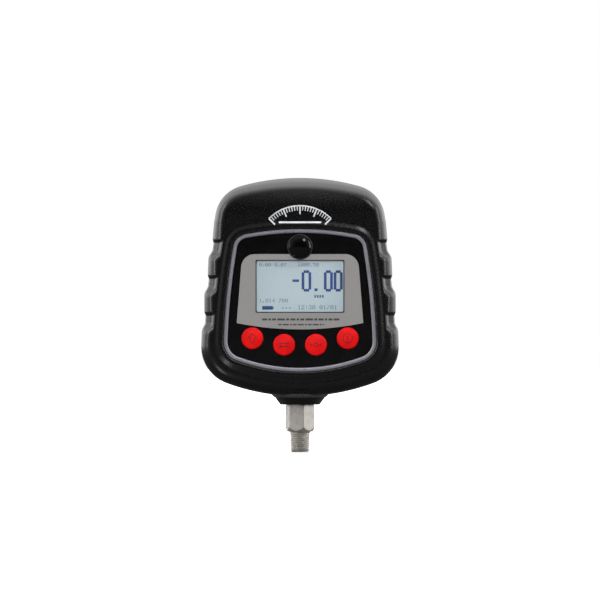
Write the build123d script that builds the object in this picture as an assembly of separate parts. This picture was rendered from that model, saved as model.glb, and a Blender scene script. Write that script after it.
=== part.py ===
from build123d import *

import os
from math import cos, radians

# A hand-held digital pressure gauge in a rubber boot, in millimetres.
# X is to the right, the display faces -Y and +Z is up.
# The origin is on the port's axis, at the lower end of its thread.

# Driving dimensions of the whole body
BODY_BOTTOM = 37.0  # lowest point of the bowed lower edge
BODY_TOP = 181.6
NECK_BOTTOM = 36.2  # the boot ends here, round the port's collar
FRONT_Y = -21.5
BACK_Y = 23.0
BOTTOM_ARC = 140.5  # radius of the gently bowed lower edge
TOP_ARC = 143.0
SIDE_LOW = (65.5, 60.0)  # three points of the right side, as (X, Z)
SIDE_MIDDLE = (62.7, 110.0)
SIDE_HIGH = (56.3, 155.0)
LOWER_CORNER = 25.5
UPPER_CORNER = 23.0
FRONT_ROUND = 8.0
BACK_ROUND = 11.0
CROWN_Z = 158.0  # the front starts to slope back above this height
CROWN_RADIUS = 34.0

# Boot and case walls
BOOT_WALL = 2.6
GRIP_EXTRA = 2.6  # the boot is thicker at its sides, where the fingers go
GAP = 0.1  # between pieces that touch on the real object
CASE_WALL = 2.2
SPLIT_Y = 0.0  # the two case shells meet here

# Face: the trim ring's centre line, which is the same kind of outline as the body
TRIM_TOP = 146.3
TRIM_BOTTOM = 54.5
TRIM_TOP_ARC = 194.0
TRIM_BOTTOM_ARC = 120.0
TRIM_LOW = (49.45, 64.0)
TRIM_MIDDLE = (47.35, 103.0)
TRIM_HIGH = (41.9, 141.8)
TRIM_LOWER_CORNER = 12.0
TRIM_UPPER_CORNER = 9.0
TRIM_HALF_WIDTH = 1.4
LIP_WIDTH = 4.6
LIP_RISE = 1.2

# Depths of what lies behind the face
OVERLAY_FRONT = -20.5
OVERLAY_BACK = -19.8
CASE_FRONT = FRONT_Y + BOOT_WALL + GAP + CASE_WALL  # inner side of the front shell
PANEL_RISE = 0.3

# Display
WINDOW_HALF_WIDTH = 29.2
WINDOW_LOW = 92.4
WINDOW_HIGH = 127.1
PANEL_TOP = 131.0
PANEL_BOTTOM = 81.3
PANEL_BOTTOM_ARC = 208.0
PANEL_LOW_HALF_WIDTH = 41.8
PANEL_HIGH_HALF_WIDTH = 38.2
PANEL_CORNER = 9.0
LENS_Z = 135.8
LENS_RADIUS = 7.5
LENS_RING_RADIUS = 8.4
LENS_STEM_RADIUS = 4.5

# Keys, as (name, X, Z)
KEYS = (
    ("key_up", -31.5, 75.4),
    ("key_units", -10.5, 71.1),
    ("key_zero", 10.5, 71.1),
    ("key_power", 31.5, 75.4),
)
KEY_RADIUS = 7.2
KEY_CLEARANCE = 0.3
KEY_FRONT = -21.3
KEY_TRAVEL = 0.8
SWITCH_FRONT = -13.2

# Board
BOARD_FRONT = -8.5
BOARD_THICKNESS = 1.6
BOARD_BACK = BOARD_FRONT + BOARD_THICKNESS

# Port
THREAD_LENGTH = 13.5
THREAD_PITCH = 25.4 / 18
THREAD_CREST = 6.65
THREAD_ROOT = 5.65
HEX_ACROSS_FLATS = 17.5
HEX_TOP = 31.2
HEX_TURN = 14.0
SHANK_RADIUS = 9.0
SHANK_TOP = 53.0
INLET_RADIUS = 2.25
INLET_DEPTH = 24.0
COLLAR_TOP = 39.4
COLLAR_RADIUS = 16.3

# Battery compartment: three AA cells, side by side
CELL_RADIUS = 7.25
CELL_LENGTH = 50.5
CELL_PITCH = 15.4
CELL_Y = 9.6
TRAY_LOW = 100.0
TRAY_WALL = 1.5
CONTACT_THICKNESS = 0.4
SPRING_ROOM = 2.6
DOOR_LOW = 90.5
DOOR_HIGH = 161.5
DOOR_HALF_WIDTH = 26.0
DOOR_BACK = 22.7
DOOR_THICKNESS = 2.4
PAD_MARGIN = 3.0  # rim of the rear shell that shows round the door
DOOR_SCREW_Z = 96.0
DOOR_SCREW_X = 17.0


# Basic solids ------------------------------------------------------------------------------------

def slab(sketch, low_y, high_y):
    """Extrude a sketch, drawn as (X, Z), between two depths."""
    plane = Plane((0, low_y, 0), x_dir=(1, 0, 0), z_dir=(0, -1, 0))
    return extrude(plane * sketch, amount=high_y - low_y, dir=(0, 1, 0))


def rod_y(x, z, radius, low_y, high_y):
    return slab(Pos(x, z) * Circle(radius), low_y, high_y)


def rod_z(radius, low_z, high_z, x=0.0, y=0.0):
    height = high_z - low_z
    return Pos(x, y, (low_z + high_z) / 2) * Cylinder(radius, height)


def block(x, y, z):
    """A box between the two values given for each axis."""
    size = [high - low for low, high in (x, y, z)]
    centre = [(low + high) / 2 for low, high in (x, y, z)]
    return Pos(*centre) * Box(*size)


def plate(half_width, low_z, high_z, corner):
    """A rounded rectangle, drawn as (X, Z)."""
    shape = RectangleRounded(2 * half_width, high_z - low_z, corner)
    return Pos(0, (low_z + high_z) / 2) * shape


def hexagon_z(across_flats, low_z, high_z, turn=0.0):
    sketch = Rot(0, 0, turn) * RegularPolygon(across_flats / 2, 6, major_radius=False)
    return Pos(0, 0, low_z) * extrude(sketch, amount=high_z - low_z, dir=(0, 0, 1))


# Outlines ----------------------------------------------------------------------------------------

def side_disc(low, middle, high, inset, side):
    """A large disc whose edge is the bowed side that runs through three points."""
    arc = ThreePointArc(low, middle, high)
    centre = arc.arc_center
    return Pos(side * centre.X, centre.Y) * Circle(arc.radius - inset)


def shield(bottom, top, arcs, sides, corners, inset=0.0, side_inset=0.0):
    """Four bowed edges with rounded corners: the outline that the body and the face share."""
    bottom_arc, top_arc = arcs
    lower_corner, upper_corner = corners
    face = Pos(0, bottom + bottom_arc) * Circle(bottom_arc - inset)
    face &= Pos(0, top - top_arc) * Circle(top_arc - inset)
    for side in (-1, 1):
        face &= side_disc(*sides, side_inset, side)
    face = fillet(face.vertices().group_by(Axis.Y)[-1], upper_corner - inset)
    return fillet(face.vertices().sort_by(Axis.Y)[:2], lower_corner - inset)


def body_outline(inset, side_inset):
    return shield(
        BODY_BOTTOM,
        BODY_TOP,
        (BOTTOM_ARC, TOP_ARC),
        (SIDE_LOW, SIDE_MIDDLE, SIDE_HIGH),
        (LOWER_CORNER, UPPER_CORNER),
        inset,
        side_inset,
    )


def trim_outline(inset):
    return shield(
        TRIM_BOTTOM,
        TRIM_TOP,
        (TRIM_BOTTOM_ARC, TRIM_TOP_ARC),
        (TRIM_LOW, TRIM_MIDDLE, TRIM_HIGH),
        (TRIM_LOWER_CORNER, TRIM_UPPER_CORNER),
        inset,
        inset,
    )


def panel_outline():
    """The silver-grey plate: flat top, round upper corners and a bowed lower edge."""
    corner_z = PANEL_BOTTOM + PANEL_LOW_HALF_WIDTH**2 / (2 * PANEL_BOTTOM_ARC)
    left_low = (-PANEL_LOW_HALF_WIDTH, corner_z)
    right_low = (PANEL_LOW_HALF_WIDTH, corner_z)
    left_high = (-PANEL_HIGH_HALF_WIDTH, PANEL_TOP)
    right_high = (PANEL_HIGH_HALF_WIDTH, PANEL_TOP)
    edges = [
        ThreePointArc(left_low, (0, PANEL_BOTTOM), right_low),
        Line(right_low, right_high),
        Line(right_high, left_high),
        Line(left_high, left_low),
    ]
    face = make_face(edges)
    return fillet(face.vertices().group_by(Axis.Y)[-1], PANEL_CORNER)


def window_outline(inset=0.0):
    return plate(WINDOW_HALF_WIDTH - inset, WINDOW_LOW + inset, WINDOW_HIGH - inset, 1.0)


# Body shape that the boot and both shells share -----------------------------------------------

def body_form(inset, side_extra=0.0):
    """The pillow shape of the whole body, moved in by inset, and further at its sides."""
    front = FRONT_Y + inset
    back = BACK_Y - inset
    form = slab(body_outline(inset, inset + side_extra), front, back)
    crown_y = FRONT_Y + CROWN_RADIUS
    above = block((-100, 100), (FRONT_Y - 5, crown_y), (CROWN_Z, CROWN_Z + 60))
    crown = Pos(0, crown_y, CROWN_Z) * Rot(0, 90, 0) * Cylinder(CROWN_RADIUS - inset, 220)
    form -= above - crown
    rims = form.edges().filter_by(Axis.Y, reverse=True).filter_by(Axis.X, reverse=True)
    form = fillet(rims.filter_by(lambda e: e.center().Y < 0), FRONT_ROUND - inset)
    rims = form.edges().filter_by(lambda e: abs(e.center().Y - back) < 0.01)
    return fillet(rims, BACK_ROUND - inset)


def battery_pad(inset):
    """Outline of the raised pad on the rear shell that carries the door."""
    margin = PAD_MARGIN - inset
    return plate(DOOR_HALF_WIDTH + margin, DOOR_LOW - margin, DOOR_HIGH + margin, 5.0)


# Boot --------------------------------------------------------------------------------------------

CREASES = (140.3, 116.5, 92.1)
SCOOP_REACH = 12.0  # each scoop starts this far above its crease, and ends as far below it
SCOOP_STEP = 1.0  # depth just above the crease
SCOOP_DEPTH = 1.9


def side_x(z):
    """Half width of the body at a height, before the scoops are cut."""
    arc = ThreePointArc(SIDE_LOW, SIDE_MIDDLE, SIDE_HIGH)
    rise = z - arc.arc_center.Y
    return arc.arc_center.X + (arc.radius**2 - rise**2) ** 0.5


def finger_scoops():
    """Three scoops on each side: a long slope down to a crease, and a deeper hollow under it."""
    cuts = []
    for crease_z in CREASES:
        high = crease_z + SCOOP_REACH
        low = crease_z - SCOOP_REACH
        start = (side_x(high), high)
        edge = (side_x(crease_z) - SCOOP_STEP, crease_z)
        hollow = (side_x(crease_z - 1.3) - SCOOP_DEPTH, crease_z - 1.3)
        middle = (side_x(crease_z - 6.5) - SCOOP_DEPTH, crease_z - 6.5)
        end = (side_x(low), low)
        outside = side_x(low) + 12
        edges = [
            Line(start, edge),
            Line(edge, hollow),
            ThreePointArc(hollow, middle, end),
            Line(end, (outside, low)),
            Line((outside, low), (outside, high)),
            Line((outside, high), start),
        ]
        cuts.append(slab(make_face(edges), -30, 30))
    right = Compound(children=cuts)
    return [right, mirror(right, about=Plane.YZ)]


def neck():
    height = 4.6
    return Pos(0, 0, NECK_BOTTOM + height / 2) * Cone(16.9, 21.4, height)


def rubber_boot():
    solid = body_form(0.0) + neck()
    lip = slab(trim_outline(-LIP_WIDTH - TRIM_HALF_WIDTH), FRONT_Y - LIP_RISE, FRONT_Y + 1)
    lip_rim = lip.edges().filter_by(lambda e: abs(e.center().Y - FRONT_Y + LIP_RISE) < 0.01)
    solid += fillet(lip_rim, LIP_RISE - 0.05)
    for scoop in finger_scoops():
        solid -= scoop
    solid -= body_form(BOOT_WALL, GRIP_EXTRA)
    solid -= slab(trim_outline(-TRIM_HALF_WIDTH - GAP), FRONT_Y - 5, 0)
    solid -= slab(battery_pad(-GAP), 0, BACK_Y + 5)
    solid -= rod_z(COLLAR_RADIUS + GAP, 30, 60)
    return solid


# Shells ------------------------------------------------------------------------------------------

SHELL_SCREWS = ((-40.0, 160.0), (40.0, 160.0), (-47.5, 61.0), (47.5, 61.0))
BOARD_SCREWS = ((-38.5, 137.0), (38.5, 137.0), (-44.0, 66.5), (44.0, 66.5))
GASKET_INSET = BOOT_WALL + GAP + CASE_WALL / 2
REAR_INNER = BACK_Y - BOOT_WALL - GAP - CASE_WALL
DOOR_LEDGE = DOOR_BACK - DOOR_THICKNESS - 0.6
WINDOW_BACK = -19.1
LENS_SEAT = -19.0
NUT_SEAT_Z = 42.6


def shell(inset=0.0):
    return body_form(BOOT_WALL + GAP + inset, GRIP_EXTRA)


def gasket_ring(half_width):
    side_inset = GASKET_INSET + GRIP_EXTRA
    ring = body_outline(GASKET_INSET - half_width, side_inset - half_width)
    ring -= body_outline(GASKET_INSET + half_width, side_inset + half_width)
    return ring


def case_gasket():
    ring = slab(gasket_ring(0.4), SPLIT_Y - 0.4, SPLIT_Y + 0.4)
    return ring - rod_z(12.5, 30, 60)


def case_gasket_groove():
    return slab(gasket_ring(0.5), SPLIT_Y - 0.45, SPLIT_Y + 0.45) - rod_z(12.4, 30, 60)


def hollow_shell():
    return shell() - shell(CASE_WALL)


def port_hole():
    return rod_z(SHANK_RADIUS + 0.2, 30, 60)


def nut_seat():
    """Flat ring inside the lower wall that the port's washer and nut clamp."""
    return rod_z(13.0, NUT_SEAT_Z - 1.2, NUT_SEAT_Z)


def front_case():
    solid = hollow_shell() & block((-90, 90), (-40, SPLIT_Y), (20, 200))
    solid += slab(trim_outline(-TRIM_HALF_WIDTH), OVERLAY_BACK, CASE_FRONT)
    for x, z in SHELL_SCREWS:
        solid += rod_y(x, z, 3.6, CASE_FRONT - 0.5, SPLIT_Y)
        solid -= rod_y(x, z, 1.45, CASE_FRONT + 3, SPLIT_Y + 1)
    for x, z in BOARD_SCREWS:
        solid += rod_y(x, z, 2.8, CASE_FRONT - 0.5, BOARD_FRONT)
        solid -= rod_y(x, z, 1.05, CASE_FRONT + 2, BOARD_FRONT + 1)
    for _, x, z in KEYS:
        solid -= rod_y(x, z, KEY_RADIUS + KEY_CLEARANCE, -30, CASE_FRONT + 1)
    solid -= slab(window_outline(0.5), -30, CASE_FRONT + 1)
    solid -= slab(window_outline(-GAP), -30, WINDOW_BACK)
    solid -= rod_y(0, LENS_Z, LENS_STEM_RADIUS + 0.2, -30, CASE_FRONT + 1)
    solid -= rod_y(0, LENS_Z, LENS_RING_RADIUS + GAP, -30, LENS_SEAT)
    solid += nut_seat() & block((-90, 90), (-40, SPLIT_Y), (20, 200))
    solid -= case_gasket_groove()
    return solid - port_hole()


def rear_case():
    solid = hollow_shell() & block((-90, 90), (SPLIT_Y, 40), (20, 200))
    solid += slab(battery_pad(0), REAR_INNER, DOOR_BACK)
    door_gap = 0.35
    door_hole = plate(
        DOOR_HALF_WIDTH + door_gap, DOOR_LOW - door_gap, DOOR_HIGH + door_gap, 3.0 + door_gap
    )
    solid -= slab(door_hole, DOOR_LEDGE, BACK_Y + 5)
    cell_opening = plate(DOOR_HALF_WIDTH - 1.5, TRAY_LOW, DOOR_HIGH - 1.5, 2.0)
    solid -= slab(cell_opening, 10, BACK_Y + 5)
    for side in (-1, 1):
        x = side * DOOR_SCREW_X
        solid += rod_y(x, DOOR_SCREW_Z, 3.4, 9.0, REAR_INNER + 0.5)
        solid -= rod_y(x, DOOR_SCREW_Z, 2.2, 11.0, BACK_Y + 1)
    for x, z in SHELL_SCREWS:
        solid += rod_y(x, z, 3.6, SPLIT_Y, 18.5)
        solid -= rod_y(x, z, 1.7, SPLIT_Y - 1, 30)
        solid -= rod_y(x, z, 3.1, 14.0, 30)
    solid += nut_seat() & block((-90, 90), (SPLIT_Y, 40), (20, 200))
    solid -= case_gasket_groove()
    return solid - port_hole()


def case_screws():
    """Four cross-head screws that join the two shells."""
    screws = []
    head_low = 14.0
    head_high = 16.6
    for x, z in SHELL_SCREWS:
        screw = rod_y(x, z, 1.4, -10.0, head_low) + rod_y(x, z, 2.9, head_low, head_high)
        cross = Rectangle(0.8, 3.6) + Rectangle(3.6, 0.8)
        screws.append(screw - slab(Pos(x, z) * cross, head_high - 1.2, head_high + 1))
    return screws


# Face pieces -------------------------------------------------------------------------------------

def trim_ring():
    solid = slab(trim_outline(-TRIM_HALF_WIDTH) - trim_outline(TRIM_HALF_WIDTH), -21.8, OVERLAY_BACK)
    rims = solid.edges().filter_by(lambda e: abs(e.center().Y + 21.8) < 0.01)
    return fillet(rims, 0.8)


def front_overlay():
    solid = slab(trim_outline(TRIM_HALF_WIDTH + GAP), OVERLAY_FRONT, OVERLAY_BACK)
    for _, x, z in KEYS:
        solid -= rod_y(x, z, KEY_RADIUS + KEY_CLEARANCE, -30, 0)
    solid -= slab(window_outline(-GAP), -30, 0)
    return solid - rod_y(0, LENS_Z, LENS_RING_RADIUS + GAP, -30, 0)


def display_panel():
    solid = slab(panel_outline() - window_outline(-GAP), OVERLAY_FRONT - PANEL_RISE, OVERLAY_FRONT)
    return solid - rod_y(0, LENS_Z, LENS_RING_RADIUS + GAP, -30, 0)


def display_window():
    return slab(window_outline(), OVERLAY_FRONT - 0.5, WINDOW_BACK)


def sensor_lens_ring():
    """The thin bezel round the domed sensor window."""
    solid = rod_y(0, LENS_Z, LENS_RING_RADIUS, -21.6, LENS_SEAT)
    rims = solid.edges().filter_by(lambda e: abs(e.center().Y + 21.6) < 0.01)
    return fillet(rims, 0.5) - rod_y(0, LENS_Z, LENS_RADIUS + 0.05, -30, 0)


def sensor_lens():
    """A shallow black dome on a short stem that goes through the front shell."""
    dome_radius = 14.0
    rise = 2.0
    dome = Pos(0, -21.2 - rise + dome_radius, LENS_Z) * Sphere(dome_radius)
    head = rod_y(0, LENS_Z, LENS_RADIUS, -30, LENS_SEAT) & dome
    return head + rod_y(0, LENS_Z, LENS_STEM_RADIUS, LENS_SEAT, CASE_FRONT + 0.6)


# Keys --------------------------------------------------------------------------------------------

def key_cap(x, z):
    """A slightly domed round cap with a hidden flange that keeps it in."""
    dome_radius = 45.0
    cap = rod_y(x, z, KEY_RADIUS, KEY_FRONT - 1, CASE_FRONT + 0.3)
    cap &= Pos(x, KEY_FRONT + dome_radius, z) * Sphere(dome_radius)
    rims = cap.edges().group_by(Axis.Y)[0]
    cap = fillet(rims, 0.4)
    return cap + rod_y(x, z, KEY_RADIUS + 0.9, CASE_FRONT + 0.3, CASE_FRONT + 1.2)


def key_plunger(x, z):
    return rod_y(x, z, 1.8, CASE_FRONT + 1.2, SWITCH_FRONT - KEY_TRAVEL - 0.2)


def sensor_notch():
    """Room for the sensor in the lower edge of the board and of the mat."""
    return slab(plate(11.5, 50.0, 67.0, 2.0), -20, 0)


def keypad_mat():
    """Elastomer sheet that the switches stand through and the plungers reach over."""
    mat = slab(plate(43.0, 62.0, 84.0, 6.0), BOARD_FRONT - 1.1, BOARD_FRONT - GAP)
    for _, x, z in KEYS:
        mat -= slab(Pos(x, z) * Rectangle(6.6, 6.6), -20, 0)
    for x, z in BOARD_SCREWS:
        mat -= rod_y(x, z, 3.4, -20, 0)
    return mat - sensor_notch()


def tact_switches():
    switches = []
    for _, x, z in KEYS:
        base = slab(Pos(x, z) * Rectangle(6.0, 6.0), -13.0, BOARD_FRONT)
        switches.append(base + rod_y(x, z, 1.7, SWITCH_FRONT, -13.0))
    return switches


# Display module ----------------------------------------------------------------------------------

LCD_HALF_WIDTH = 33.5
LCD_LOW = 89.0
LCD_HIGH = 130.5
GLASS_BACK = CASE_FRONT + 3.5
STRIP_FRONT = BOARD_FRONT - 1.0


def lcd_outline(inset):
    return plate(LCD_HALF_WIDTH - inset, LCD_LOW + inset, LCD_HIGH - inset, 0.8)


def lcd_frame():
    """Folded metal frame that clamps the glass to the backlight."""
    solid = slab(lcd_outline(0), CASE_FRONT + 0.2, BOARD_FRONT)
    solid -= slab(lcd_outline(0.6), CASE_FRONT + 0.6, 0)
    return solid - slab(window_outline(-0.6), -30, 0)


def lcd_glass():
    return slab(lcd_outline(0.8), CASE_FRONT + 0.7, GLASS_BACK)


def lcd_backlight():
    return slab(lcd_outline(0.8), GLASS_BACK + GAP, STRIP_FRONT - GAP)


def lcd_connector():
    """Elastomer strip between the glass and the board."""
    return block((-26, 26), (STRIP_FRONT, BOARD_FRONT), (LCD_LOW + 1.5, LCD_LOW + 4.0))


# Board -------------------------------------------------------------------------------------------

def main_board():
    outline = plate(46.5, 62.5, 141.0, 5.0)
    board = slab(outline, BOARD_FRONT, BOARD_BACK)
    for x, z in SHELL_SCREWS:
        board -= rod_y(x, z, 4.4, -20, 0)
    for x, z in BOARD_SCREWS:
        board -= rod_y(x, z, 1.5, -20, 0)
    return board - sensor_notch()


def board_screws():
    return [
        rod_y(x, z, 1.0, CASE_FRONT + 4, BOARD_BACK) + rod_y(x, z, 2.2, BOARD_BACK, BOARD_BACK + 1.5)
        for x, z in BOARD_SCREWS
    ]


def board_components():
    """Processor, converter, memory, regulator, crystal and capacitors on the back of the board."""
    chips = [
        (-12, 96, 12.0, 12.0, 1.4),
        (12, 92, 9.0, 7.0, 1.2),
        (14, 108, 6.0, 5.0, 1.2),
        (-30, 110, 7.0, 5.0, 1.6),
        (-28, 96, 5.0, 11.0, 2.4),
        (30, 112, 6.5, 6.5, 1.8),
        (0, 128, 16.0, 5.0, 3.4),
    ]
    solids = []
    for x, z, width, height, thickness in chips:
        solids.append(slab(Pos(x, z) * Rectangle(width, height), BOARD_BACK, BOARD_BACK + thickness))
    for x in (-38, 38):
        solids.append(rod_y(x, 122, 3.0, BOARD_BACK, BOARD_BACK + 4.5))
    return solids


def buzzer():
    body = rod_y(-31, 80, 6.0, BOARD_BACK, BOARD_BACK + 4.2)
    return body - rod_y(-31, 80, 1.0, BOARD_BACK + 3.2, BOARD_BACK + 5)


def clock_cell_holder():
    holder = slab(Pos(32, 84) * Rectangle(23.0, 18.0), BOARD_BACK, BOARD_BACK + 4.0)
    return holder - rod_y(32, 84, 8.2, BOARD_BACK + 0.6, BOARD_BACK + 5)


def clock_cell():
    return rod_y(32, 84, 8.0, BOARD_BACK + 0.7, BOARD_BACK + 2.7)


# Port --------------------------------------------------------------------------------------------

def thread_profile():
    """Half section of the threaded end: crests with flat lands, all but straight."""
    growth = 0.010  # the crests grow by this much for each millimetre up the thread
    crest_land = 0.35
    points = [(0, 0), (THREAD_ROOT - 0.5, 0), (THREAD_ROOT, 0.5)]
    rings = 9
    for ring in range(rings):
        middle = 1.15 + ring * THREAD_PITCH
        crest = THREAD_CREST + (middle - THREAD_LENGTH / 2) * growth
        points += [
            (THREAD_ROOT, middle - 0.62),
            (crest, middle - crest_land / 2),
            (crest, middle + crest_land / 2),
            (THREAD_ROOT, middle + 0.62),
        ]
    points += [(THREAD_ROOT, THREAD_LENGTH), (0, THREAD_LENGTH)]
    return points


def pressure_fitting():
    """One turned stainless piece: taper thread, hexagon, shank and flange."""
    half_section = make_face(Polyline(*thread_profile(), close=True))
    solid = revolve(Plane.XZ * half_section, axis=Axis.Z)
    hexagon = hexagon_z(HEX_ACROSS_FLATS, THREAD_LENGTH, HEX_TOP, HEX_TURN)
    corner = HEX_ACROSS_FLATS / 2 / cos(radians(30))
    chamfer_height = 2.7
    lower_chamfer = Cone(HEX_ACROSS_FLATS / 2 - 0.5, corner + 0.4, chamfer_height)
    lower_chamfer = Pos(0, 0, THREAD_LENGTH + chamfer_height / 2) * lower_chamfer
    hexagon &= lower_chamfer + rod_z(corner + 0.4, THREAD_LENGTH + chamfer_height, HEX_TOP)
    solid += hexagon
    solid += rod_z(SHANK_RADIUS, HEX_TOP, SHANK_TOP)
    solid -= rod_z(INLET_RADIUS, -1, INLET_DEPTH)
    solid -= rod_z(1.0, INLET_DEPTH - 1, SHANK_TOP - 3)
    seal_groove = rod_z(SHANK_RADIUS + 1, 35.0, 37.2) - rod_z(SHANK_RADIUS - 1.2, 35.0, 37.2)
    return solid - seal_groove


def fitting_seal():
    return Pos(0, 0, 36.1) * Torus(SHANK_RADIUS - 0.3, 0.85)


def port_collar():
    """Black collar that closes the boot round the port."""
    section = [
        (SHANK_RADIUS + 0.6, HEX_TOP + 0.2),
        (13.0, HEX_TOP + 0.2),
        (13.4, HEX_TOP + 0.6),
        (COLLAR_RADIUS, 36.0),
        (COLLAR_RADIUS, COLLAR_TOP),
        (SHANK_RADIUS + 0.6, COLLAR_TOP),
    ]
    return revolve(Plane.XZ * make_face(Polyline(*section, close=True)), axis=Axis.Z)


WASHER_TOP = NUT_SEAT_Z + 1.4


def fitting_washer():
    washer = rod_z(12.0, NUT_SEAT_Z, WASHER_TOP)
    return washer - rod_z(SHANK_RADIUS + 0.1, NUT_SEAT_Z - 1, WASHER_TOP + 1)


def fitting_nut():
    nut = hexagon_z(23.0, WASHER_TOP, WASHER_TOP + 5.0, 10.0)
    return nut - rod_z(SHANK_RADIUS + 0.05, 40, 50)


def sensor_capsule():
    capsule = rod_z(10.5, SHANK_TOP, 58.0) + rod_z(8.0, 58.0, 62.0)
    return capsule


def sensor_cap():
    cap = rod_z(9.4, 58.0, 65.0) - rod_z(8.1, 57.0, 62.1)
    return cap - rod_z(1.2, 61.0, 66.0, y=-4.0)


def sensor_ribbon():
    """Flat cable from the sensor's cap up to the board's connector."""
    path = [
        (-3.0, 65.2),
        (-3.0, 70.0),
        (-4.0, 74.0),
        (-5.2, 76.5),
        (BOARD_BACK + 0.3, 76.5),
    ]
    spine = Polyline(*path)
    strip = make_face(offset(spine, 0.2))
    return Pos(-4.0, 0, 0) * extrude(Plane.YZ * strip, amount=8.0)


# Battery compartment -----------------------------------------------------------------------------

END_ROOM = TRAY_WALL + CONTACT_THICKNESS
TRAY_HIGH = TRAY_LOW + 2 * END_ROOM + SPRING_ROOM + CELL_LENGTH + GAP
TRAY_HALF_WIDTH = 1.5 * CELL_PITCH + 1.2
# Each cell's X, and whether its flat end, where the spring is, points down
CELLS = ((-CELL_PITCH, True), (0.0, False), (CELL_PITCH, True))


def battery_tray():
    """Open tray with three round-bottomed troughs."""
    tray = block((-TRAY_HALF_WIDTH, TRAY_HALF_WIDTH), (-1.0, 14.0), (TRAY_LOW, TRAY_HIGH))
    low = TRAY_LOW + TRAY_WALL
    high = TRAY_HIGH - TRAY_WALL
    half = CELL_RADIUS + 0.25
    for x, _ in CELLS:
        trough = rod_z(half, low, high, x, CELL_Y)
        tray -= trough + block((x - half, x + half), (CELL_Y, 20), (low, high))
    return tray


def battery_cells():
    """Three cells, each a can with a small raised contact at one end."""
    cells = []
    contact_rise = 1.2
    contact_radius = 2.7
    for x, flat_end_low in CELLS:
        if flat_end_low:
            low = TRAY_LOW + END_ROOM + SPRING_ROOM
            can = (low, low + CELL_LENGTH - contact_rise)
        else:
            low = TRAY_LOW + END_ROOM + GAP / 2
            can = (low + contact_rise, low + CELL_LENGTH)
        contact = rod_z(contact_radius, low, low + CELL_LENGTH, x, CELL_Y)
        cells.append(rod_z(CELL_RADIUS, *can, x, CELL_Y) + contact)
    return cells


def battery_springs():
    """Three conical contact springs, one at each cell's flat end."""
    springs = []
    wire = 0.35
    turns = 2.0
    height = SPRING_ROOM - 2 * wire - GAP
    for x, flat_end_low in CELLS:
        helix = Helix(height / turns, height, 3.4, cone_angle=-20)
        section = Plane(origin=helix @ 0, z_dir=helix % 0) * Circle(wire)
        spring = sweep(section, path=helix)
        low_end = TRAY_LOW + END_ROOM + wire + GAP / 2
        if flat_end_low:
            place = Pos(x, CELL_Y, low_end)
        else:
            place = Pos(x, CELL_Y, TRAY_LOW + TRAY_HIGH - low_end) * Rot(180, 0, 0)
        springs.append(place * spring)
    return springs


def battery_contacts():
    """Flat plates at the ends of the troughs."""
    plates = []
    for x, _ in CELLS:
        for low in (TRAY_LOW + TRAY_WALL, TRAY_HIGH - END_ROOM):
            tall = (low, low + CONTACT_THICKNESS)
            plates.append(block((x - 4.5, x + 4.5), (CELL_Y - 5, CELL_Y + 5), tall))
    return plates


def battery_door():
    """Flush door with a ribbed thumb patch and two counterbored screw holes."""
    outline = plate(DOOR_HALF_WIDTH, DOOR_LOW, DOOR_HIGH, 3.0)
    door = slab(outline, DOOR_BACK - DOOR_THICKNESS, DOOR_BACK)
    rims = door.edges().filter_by(lambda e: abs(e.center().Y - DOOR_BACK) < 0.01)
    door = fillet(rims, 0.5)
    for rib in range(5):
        z = 144.0 + rib * 2.6
        door -= slab(plate(9.0, z - 0.5, z + 0.5, 0.4), DOOR_BACK - 0.5, BACK_Y + 1)
    for side in (-1, 1):
        door -= rod_y(side * DOOR_SCREW_X, DOOR_SCREW_Z, 1.7, 0, 40)
        door -= rod_y(side * DOOR_SCREW_X, DOOR_SCREW_Z, 3.3, DOOR_BACK - 1.4, 40)
    return door


def door_gasket():
    outer = plate(DOOR_HALF_WIDTH - 0.3, DOOR_LOW + 0.3, DOOR_HIGH - 0.3, 2.7)
    inner = plate(DOOR_HALF_WIDTH - 1.5, TRAY_LOW, DOOR_HIGH - 1.5, 2.0)
    gasket = slab(outer - inner, DOOR_LEDGE, DOOR_LEDGE + 0.5)
    for side in (-1, 1):
        gasket -= rod_y(side * DOOR_SCREW_X, DOOR_SCREW_Z, 3.8, 0, 40)
    return gasket


def door_screw(side):
    x = side * DOOR_SCREW_X
    head_low = DOOR_BACK - 1.3
    screw = rod_y(x, DOOR_SCREW_Z, 3.0, head_low, DOOR_BACK - 0.1)
    screw += rod_y(x, DOOR_SCREW_Z, 1.45, 12.5, head_low)
    return screw - slab(Pos(x, DOOR_SCREW_Z) * Rectangle(4.6, 0.9), DOOR_BACK - 0.7, 40)


def door_inserts():
    """Brass threaded inserts in the rear shell's bosses."""
    inserts = []
    for side in (-1, 1):
        x = side * DOOR_SCREW_X
        body = rod_y(x, DOOR_SCREW_Z, 2.15, 11.5, 18.0)
        inserts.append(body - rod_y(x, DOOR_SCREW_Z, 1.5, 0, 30))
    return inserts


# Output ------------------------------------------------------------------------------------------

def write(name, shape):
    if isinstance(shape, list):
        shape = Compound(children=[solid for piece in shape for solid in piece.solids()])
    shape.label = name
    export_step(shape, os.path.join("parts", name + ".step"))


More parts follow.
